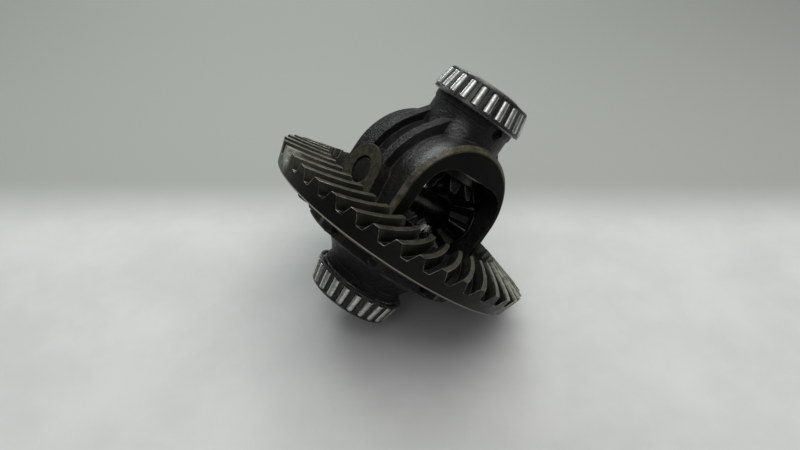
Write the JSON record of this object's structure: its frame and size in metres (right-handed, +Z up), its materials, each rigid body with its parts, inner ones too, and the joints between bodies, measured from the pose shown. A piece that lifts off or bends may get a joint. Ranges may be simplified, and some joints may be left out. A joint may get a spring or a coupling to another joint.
{
  "type": "differential gear assembly",
  "caption": "Bevel-gear differential in a windowed cast case, with a spiral ring gear on its flange and a taper roller bearing cone on each hub.",
  "frame": {"origin": "where the axle axis crosses the cross pin's axis, at the middle of the gear set", "axes": "+Z up with the differential lying on its ring gear's back edge and its lower bearing; the axle axis lies in the XZ plane and rises towards +X, and +Y runs across the ring gear"},
  "size_m": [0.1733, 0.1999, 0.1729],
  "materials": {
    "case_casting": "dark, oil-wet casting with machined pads",
    "ring_gear_steel": "dark phosphated teeth with worn, brighter edges",
    "gear_steel": "oiled case-hardened steel",
    "race_steel": "ground, oil-stained",
    "roller_steel": "ground and polished",
    "cage_steel": "pressed sheet, dull",
    "bolt_steel": "dark, oiled",
    "pin_steel": "ground, darkened by oil",
    "washer_steel": "dull, oiled"
  },
  "bodies": {
    "case": {"differential_case": "case_casting", "ring_gear": "ring_gear_steel", "ring_gear_bolts": "bolt_steel", "cross_pin": "pin_steel", "cross_pin_lock_pin": "pin_steel", "upper_thrust_washer": "washer_steel", "lower_thrust_washer": "washer_steel", "pinion_thrust_washers": "washer_steel", "upper_bearing_inner_race": "race_steel", "lower_bearing_inner_race": "race_steel"},
    "upper_side_gear": {"upper_side_gear": "gear_steel"},
    "lower_side_gear": {"lower_side_gear": "gear_steel"},
    "front_pinion": {"front_pinion": "gear_steel"},
    "rear_pinion": {"rear_pinion": "gear_steel"},
    "upper_cage": {"upper_bearing_cage": "cage_steel"},
    "upper_roller_01": {"upper_bearing_roller_01": "roller_steel"},
    "upper_roller_02": {"upper_bearing_roller_02": "roller_steel"},
    "upper_roller_03": {"upper_bearing_roller_03": "roller_steel"},
    "upper_roller_04": {"upper_bearing_roller_04": "roller_steel"},
    "upper_roller_05": {"upper_bearing_roller_05": "roller_steel"},
    "upper_roller_06": {"upper_bearing_roller_06": "roller_steel"},
    "upper_roller_07": {"upper_bearing_roller_07": "roller_steel"},
    "upper_roller_08": {"upper_bearing_roller_08": "roller_steel"},
    "upper_roller_09": {"upper_bearing_roller_09": "roller_steel"},
    "upper_roller_10": {"upper_bearing_roller_10": "roller_steel"},
    "upper_roller_11": {"upper_bearing_roller_11": "roller_steel"},
    "upper_roller_12": {"upper_bearing_roller_12": "roller_steel"},
    "upper_roller_13": {"upper_bearing_roller_13": "roller_steel"},
    "upper_roller_14": {"upper_bearing_roller_14": "roller_steel"},
    "upper_roller_15": {"upper_bearing_roller_15": "roller_steel"},
    "upper_roller_16": {"upper_bearing_roller_16": "roller_steel"},
    "upper_roller_17": {"upper_bearing_roller_17": "roller_steel"},
    "upper_roller_18": {"upper_bearing_roller_18": "roller_steel"},
    "upper_roller_19": {"upper_bearing_roller_19": "roller_steel"},
    "upper_roller_20": {"upper_bearing_roller_20": "roller_steel"},
    "upper_roller_21": {"upper_bearing_roller_21": "roller_steel"},
    "upper_roller_22": {"upper_bearing_roller_22": "roller_steel"},
    "lower_cage": {"lower_bearing_cage": "cage_steel"},
    "lower_roller_01": {"lower_bearing_roller_01": "roller_steel"},
    "lower_roller_02": {"lower_bearing_roller_02": "roller_steel"},
    "lower_roller_03": {"lower_bearing_roller_03": "roller_steel"},
    "lower_roller_04": {"lower_bearing_roller_04": "roller_steel"},
    "lower_roller_05": {"lower_bearing_roller_05": "roller_steel"},
    "lower_roller_06": {"lower_bearing_roller_06": "roller_steel"},
    "lower_roller_07": {"lower_bearing_roller_07": "roller_steel"},
    "lower_roller_08": {"lower_bearing_roller_08": "roller_steel"},
    "lower_roller_09": {"lower_bearing_roller_09": "roller_steel"},
    "lower_roller_10": {"lower_bearing_roller_10": "roller_steel"},
    "lower_roller_11": {"lower_bearing_roller_11": "roller_steel"},
    "lower_roller_12": {"lower_bearing_roller_12": "roller_steel"},
    "lower_roller_13": {"lower_bearing_roller_13": "roller_steel"},
    "lower_roller_14": {"lower_bearing_roller_14": "roller_steel"},
    "lower_roller_15": {"lower_bearing_roller_15": "roller_steel"},
    "lower_roller_16": {"lower_bearing_roller_16": "roller_steel"},
    "lower_roller_17": {"lower_bearing_roller_17": "roller_steel"},
    "lower_roller_18": {"lower_bearing_roller_18": "roller_steel"},
    "lower_roller_19": {"lower_bearing_roller_19": "roller_steel"},
    "lower_roller_20": {"lower_bearing_roller_20": "roller_steel"},
    "lower_roller_21": {"lower_bearing_roller_21": "roller_steel"},
    "lower_roller_22": {"lower_bearing_roller_22": "roller_steel"}
  },
  "joints": [
    {"name": "side_gear_spin", "type": "hinge", "parent": "case", "child": "upper_side_gear", "pos_m": [0.02012, 0, 0.02225], "axis": [0.6707, 0, 0.7418], "continuous": true},
    {"name": "far_side_gear_spin", "type": "hinge", "parent": "case", "child": "lower_side_gear", "pos_m": [-0.02012, 0, -0.02225], "axis": [0.6707, 0, 0.7418], "continuous": true},
    {"name": "front_pinion_spin", "type": "hinge", "parent": "case", "child": "front_pinion", "pos_m": [-0.02582, 0.00366, 0.02334], "axis": [-0.7377, 0.1045, 0.667], "continuous": true},
    {"name": "rear_pinion_spin", "type": "hinge", "parent": "case", "child": "rear_pinion", "pos_m": [0.02582, -0.00366, -0.02334], "axis": [-0.7377, 0.1045, 0.667], "continuous": true},
    {"name": "upper_cage_spin", "type": "hinge", "parent": "case", "child": "upper_cage", "pos_m": [0.05493, 0, 0.06075], "axis": [0.6707, 0, 0.7418], "continuous": true},
    {"name": "upper_roller_01_spin", "type": "hinge", "parent": "upper_cage", "child": "upper_roller_01", "pos_m": [0.05215, -0.03002, 0.06239], "axis": [0.6725, 0.2012, 0.7122], "continuous": true},
    {"name": "upper_roller_02_spin", "type": "hinge", "parent": "upper_cage", "child": "upper_roller_02", "pos_m": [0.05852, -0.02969, 0.05663], "axis": [0.6298, 0.199, 0.7508], "continuous": true},
    {"name": "upper_roller_03_spin", "type": "hinge", "parent": "upper_cage", "child": "upper_roller_03", "pos_m": [0.06456, -0.02696, 0.05117], "axis": [0.5893, 0.1807, 0.7875], "continuous": true},
    {"name": "upper_roller_04_spin", "type": "hinge", "parent": "upper_cage", "child": "upper_roller_04", "pos_m": [0.06979, -0.02204, 0.04644], "axis": [0.5542, 0.1478, 0.8191], "continuous": true},
    {"name": "upper_roller_05_spin", "type": "hinge", "parent": "upper_cage", "child": "upper_roller_05", "pos_m": [0.07378, -0.01534, 0.04284], "axis": [0.5275, 0.1028, 0.8433], "continuous": true},
    {"name": "upper_roller_06_spin", "type": "hinge", "parent": "upper_cage", "child": "upper_roller_06", "pos_m": [0.0762, -0.00739, 0.04065], "axis": [0.5113, 0.0496, 0.858], "continuous": true},
    {"name": "upper_roller_07_spin", "type": "hinge", "parent": "upper_cage", "child": "upper_roller_07", "pos_m": [0.07687, 0.00115, 0.04004], "axis": [0.5068, -0.0077, 0.862], "continuous": true},
    {"name": "upper_roller_08_spin", "type": "hinge", "parent": "upper_cage", "child": "upper_roller_08", "pos_m": [0.07572, 0.0096, 0.04108], "axis": [0.5145, -0.0644, 0.8551], "continuous": true},
    {"name": "upper_roller_09_spin", "type": "hinge", "parent": "upper_cage", "child": "upper_roller_09", "pos_m": [0.07285, 0.01727, 0.04367], "axis": [0.5337, -0.1158, 0.8377], "continuous": true},
    {"name": "upper_roller_10_spin", "type": "hinge", "parent": "upper_cage", "child": "upper_roller_10", "pos_m": [0.0685, 0.02355, 0.04761], "axis": [0.5629, -0.1579, 0.8113], "continuous": true},
    {"name": "upper_roller_11_spin", "type": "hinge", "parent": "upper_cage", "child": "upper_roller_11", "pos_m": [0.06301, 0.02791, 0.05257], "axis": [0.5997, -0.1871, 0.7781], "continuous": true},
    {"name": "upper_roller_12_spin", "type": "hinge", "parent": "upper_cage", "child": "upper_roller_12", "pos_m": [0.05683, 0.03002, 0.05816], "axis": [0.6411, -0.2012, 0.7406], "continuous": true},
    {"name": "upper_roller_13_spin", "type": "hinge", "parent": "upper_cage", "child": "upper_roller_13", "pos_m": [0.05047, 0.02969, 0.06391], "axis": [0.6838, -0.199, 0.702], "continuous": true},
    {"name": "upper_roller_14_spin", "type": "hinge", "parent": "upper_cage", "child": "upper_roller_14", "pos_m": [0.04442, 0.02696, 0.06938], "axis": [0.7243, -0.1807, 0.6654], "continuous": true},
    {"name": "upper_roller_15_spin", "type": "hinge", "parent": "upper_cage", "child": "upper_roller_15", "pos_m": [0.0392, 0.02204, 0.0741], "axis": [0.7593, -0.1478, 0.6337], "continuous": true},
    {"name": "upper_roller_16_spin", "type": "hinge", "parent": "upper_cage", "child": "upper_roller_16", "pos_m": [0.03521, 0.01534, 0.07771], "axis": [0.786, -0.1028, 0.6096], "continuous": true},
    {"name": "upper_roller_17_spin", "type": "hinge", "parent": "upper_cage", "child": "upper_roller_17", "pos_m": [0.03279, 0.00739, 0.0799], "axis": [0.8023, -0.0496, 0.5949], "continuous": true},
    {"name": "upper_roller_18_spin", "type": "hinge", "parent": "upper_cage", "child": "upper_roller_18", "pos_m": [0.03212, -0.00115, 0.0805], "axis": [0.8068, 0.0077, 0.5908], "continuous": true},
    {"name": "upper_roller_19_spin", "type": "hinge", "parent": "upper_cage", "child": "upper_roller_19", "pos_m": [0.03327, -0.0096, 0.07946], "axis": [0.7991, 0.0644, 0.5978], "continuous": true},
    {"name": "upper_roller_20_spin", "type": "hinge", "parent": "upper_cage", "child": "upper_roller_20", "pos_m": [0.03613, -0.01727, 0.07687], "axis": [0.7799, 0.1158, 0.6151], "continuous": true},
    {"name": "upper_roller_21_spin", "type": "hinge", "parent": "upper_cage", "child": "upper_roller_21", "pos_m": [0.04049, -0.02355, 0.07294], "axis": [0.7507, 0.1579, 0.6415], "continuous": true},
    {"name": "upper_roller_22_spin", "type": "hinge", "parent": "upper_cage", "child": "upper_roller_22", "pos_m": [0.04598, -0.02791, 0.06797], "axis": [0.7139, 0.1871, 0.6748], "continuous": true},
    {"name": "lower_cage_spin", "type": "hinge", "parent": "case", "child": "lower_cage", "pos_m": [-0.05359, 0, -0.05927], "axis": [-0.6707, 0, -0.7418], "continuous": true},
    {"name": "lower_roller_01_spin", "type": "hinge", "parent": "lower_cage", "child": "lower_roller_01", "pos_m": [-0.05081, 0.03002, -0.0609], "axis": [-0.6725, -0.2012, -0.7122], "continuous": true},
    {"name": "lower_roller_02_spin", "type": "hinge", "parent": "lower_cage", "child": "lower_roller_02", "pos_m": [-0.04463, 0.02791, -0.06649], "axis": [-0.7139, -0.1871, -0.6748], "continuous": true},
    {"name": "lower_roller_03_spin", "type": "hinge", "parent": "lower_cage", "child": "lower_roller_03", "pos_m": [-0.03915, 0.02355, -0.07145], "axis": [-0.7507, -0.1579, -0.6415], "continuous": true},
    {"name": "lower_roller_04_spin", "type": "hinge", "parent": "lower_cage", "child": "lower_roller_04", "pos_m": [-0.03479, 0.01727, -0.07539], "axis": [-0.7799, -0.1158, -0.6151], "continuous": true},
    {"name": "lower_roller_05_spin", "type": "hinge", "parent": "lower_cage", "child": "lower_roller_05", "pos_m": [-0.03193, 0.0096, -0.07798], "axis": [-0.7991, -0.0644, -0.5978], "continuous": true},
    {"name": "lower_roller_06_spin", "type": "hinge", "parent": "lower_cage", "child": "lower_roller_06", "pos_m": [-0.03078, 0.00115, -0.07902], "axis": [-0.8068, -0.0077, -0.5908], "continuous": true},
    {"name": "lower_roller_07_spin", "type": "hinge", "parent": "lower_cage", "child": "lower_roller_07", "pos_m": [-0.03145, -0.00739, -0.07841], "axis": [-0.8023, 0.0496, -0.5949], "continuous": true},
    {"name": "lower_roller_08_spin", "type": "hinge", "parent": "lower_cage", "child": "lower_roller_08", "pos_m": [-0.03387, -0.01534, -0.07622], "axis": [-0.786, 0.1028, -0.6096], "continuous": true},
    {"name": "lower_roller_09_spin", "type": "hinge", "parent": "lower_cage", "child": "lower_roller_09", "pos_m": [-0.03786, -0.02204, -0.07262], "axis": [-0.7593, 0.1478, -0.6337], "continuous": true},
    {"name": "lower_roller_10_spin", "type": "hinge", "parent": "lower_cage", "child": "lower_roller_10", "pos_m": [-0.04308, -0.02696, -0.06789], "axis": [-0.7243, 0.1807, -0.6654], "continuous": true},
    {"name": "lower_roller_11_spin", "type": "hinge", "parent": "lower_cage", "child": "lower_roller_11", "pos_m": [-0.04913, -0.02969, -0.06243], "axis": [-0.6838, 0.199, -0.702], "continuous": true},
    {"name": "lower_roller_12_spin", "type": "hinge", "parent": "lower_cage", "child": "lower_roller_12", "pos_m": [-0.05549, -0.03002, -0.05667], "axis": [-0.6411, 0.2012, -0.7406], "continuous": true},
    {"name": "lower_roller_13_spin", "type": "hinge", "parent": "lower_cage", "child": "lower_roller_13", "pos_m": [-0.06167, -0.02791, -0.05109], "axis": [-0.5997, 0.1871, -0.7781], "continuous": true},
    {"name": "lower_roller_14_spin", "type": "hinge", "parent": "lower_cage", "child": "lower_roller_14", "pos_m": [-0.06716, -0.02355, -0.04612], "axis": [-0.5629, 0.1579, -0.8113], "continuous": true},
    {"name": "lower_roller_15_spin", "type": "hinge", "parent": "lower_cage", "child": "lower_roller_15", "pos_m": [-0.07151, -0.01727, -0.04219], "axis": [-0.5337, 0.1158, -0.8377], "continuous": true},
    {"name": "lower_roller_16_spin", "type": "hinge", "parent": "lower_cage", "child": "lower_roller_16", "pos_m": [-0.07438, -0.0096, -0.0396], "axis": [-0.5145, 0.0644, -0.8551], "continuous": true},
    {"name": "lower_roller_17_spin", "type": "hinge", "parent": "lower_cage", "child": "lower_roller_17", "pos_m": [-0.07553, -0.00115, -0.03856], "axis": [-0.5068, 0.0077, -0.862], "continuous": true},
    {"name": "lower_roller_18_spin", "type": "hinge", "parent": "lower_cage", "child": "lower_roller_18", "pos_m": [-0.07486, 0.00739, -0.03916], "axis": [-0.5113, -0.0496, -0.858], "continuous": true},
    {"name": "lower_roller_19_spin", "type": "hinge", "parent": "lower_cage", "child": "lower_roller_19", "pos_m": [-0.07244, 0.01534, -0.04136], "axis": [-0.5275, -0.1028, -0.8433], "continuous": true},
    {"name": "lower_roller_20_spin", "type": "hinge", "parent": "lower_cage", "child": "lower_roller_20", "pos_m": [-0.06845, 0.02204, -0.04496], "axis": [-0.5542, -0.1478, -0.8191], "continuous": true},
    {"name": "lower_roller_21_spin", "type": "hinge", "parent": "lower_cage", "child": "lower_roller_21", "pos_m": [-0.06322, 0.02696, -0.04968], "axis": [-0.5893, -0.1807, -0.7875], "continuous": true},
    {"name": "lower_roller_22_spin", "type": "hinge", "parent": "lower_cage", "child": "lower_roller_22", "pos_m": [-0.05718, 0.02969, -0.05515], "axis": [-0.6298, -0.199, -0.7508], "continuous": true}
  ],
  "couplings": [
    {"joint": "far_side_gear_spin", "follows": "side_gear_spin", "ratio": -1},
    {"joint": "front_pinion_spin", "follows": "side_gear_spin", "ratio": -1.4},
    {"joint": "rear_pinion_spin", "follows": "side_gear_spin", "ratio": 1.4},
    {"joint": "upper_roller_01_spin", "follows": "upper_cage_spin", "ratio": 8.6},
    {"joint": "upper_roller_02_spin", "follows": "upper_cage_spin", "ratio": 8.6},
    {"joint": "upper_roller_03_spin", "follows": "upper_cage_spin", "ratio": 8.6},
    {"joint": "upper_roller_04_spin", "follows": "upper_cage_spin", "ratio": 8.6},
    {"joint": "upper_roller_05_spin", "follows": "upper_cage_spin", "ratio": 8.6},
    {"joint": "upper_roller_06_spin", "follows": "upper_cage_spin", "ratio": 8.6},
    {"joint": "upper_roller_07_spin", "follows": "upper_cage_spin", "ratio": 8.6},
    {"joint": "upper_roller_08_spin", "follows": "upper_cage_spin", "ratio": 8.6},
    {"joint": "upper_roller_09_spin", "follows": "upper_cage_spin", "ratio": 8.6},
    {"joint": "upper_roller_10_spin", "follows": "upper_cage_spin", "ratio": 8.6},
    {"joint": "upper_roller_11_spin", "follows": "upper_cage_spin", "ratio": 8.6},
    {"joint": "upper_roller_12_spin", "follows": "upper_cage_spin", "ratio": 8.6},
    {"joint": "upper_roller_13_spin", "follows": "upper_cage_spin", "ratio": 8.6},
    {"joint": "upper_roller_14_spin", "follows": "upper_cage_spin", "ratio": 8.6},
    {"joint": "upper_roller_15_spin", "follows": "upper_cage_spin", "ratio": 8.6},
    {"joint": "upper_roller_16_spin", "follows": "upper_cage_spin", "ratio": 8.6},
    {"joint": "upper_roller_17_spin", "follows": "upper_cage_spin", "ratio": 8.6},
    {"joint": "upper_roller_18_spin", "follows": "upper_cage_spin", "ratio": 8.6},
    {"joint": "upper_roller_19_spin", "follows": "upper_cage_spin", "ratio": 8.6},
    {"joint": "upper_roller_20_spin", "follows": "upper_cage_spin", "ratio": 8.6},
    {"joint": "upper_roller_21_spin", "follows": "upper_cage_spin", "ratio": 8.6},
    {"joint": "upper_roller_22_spin", "follows": "upper_cage_spin", "ratio": 8.6},
    {"joint": "lower_roller_01_spin", "follows": "lower_cage_spin", "ratio": 8.6},
    {"joint": "lower_roller_02_spin", "follows": "lower_cage_spin", "ratio": 8.6},
    {"joint": "lower_roller_03_spin", "follows": "lower_cage_spin", "ratio": 8.6},
    {"joint": "lower_roller_04_spin", "follows": "lower_cage_spin", "ratio": 8.6},
    {"joint": "lower_roller_05_spin", "follows": "lower_cage_spin", "ratio": 8.6},
    {"joint": "lower_roller_06_spin", "follows": "lower_cage_spin", "ratio": 8.6},
    {"joint": "lower_roller_07_spin", "follows": "lower_cage_spin", "ratio": 8.6},
    {"joint": "lower_roller_08_spin", "follows": "lower_cage_spin", "ratio": 8.6},
    {"joint": "lower_roller_09_spin", "follows": "lower_cage_spin", "ratio": 8.6},
    {"joint": "lower_roller_10_spin", "follows": "lower_cage_spin", "ratio": 8.6},
    {"joint": "lower_roller_11_spin", "follows": "lower_cage_spin", "ratio": 8.6},
    {"joint": "lower_roller_12_spin", "follows": "lower_cage_spin", "ratio": 8.6},
    {"joint": "lower_roller_13_spin", "follows": "lower_cage_spin", "ratio": 8.6},
    {"joint": "lower_roller_14_spin", "follows": "lower_cage_spin", "ratio": 8.6},
    {"joint": "lower_roller_15_spin", "follows": "lower_cage_spin", "ratio": 8.6},
    {"joint": "lower_roller_16_spin", "follows": "lower_cage_spin", "ratio": 8.6},
    {"joint": "lower_roller_17_spin", "follows": "lower_cage_spin", "ratio": 8.6},
    {"joint": "lower_roller_18_spin", "follows": "lower_cage_spin", "ratio": 8.6},
    {"joint": "lower_roller_19_spin", "follows": "lower_cage_spin", "ratio": 8.6},
    {"joint": "lower_roller_20_spin", "follows": "lower_cage_spin", "ratio": 8.6},
    {"joint": "lower_roller_21_spin", "follows": "lower_cage_spin", "ratio": 8.6},
    {"joint": "lower_roller_22_spin", "follows": "lower_cage_spin", "ratio": 8.6}
  ]
}
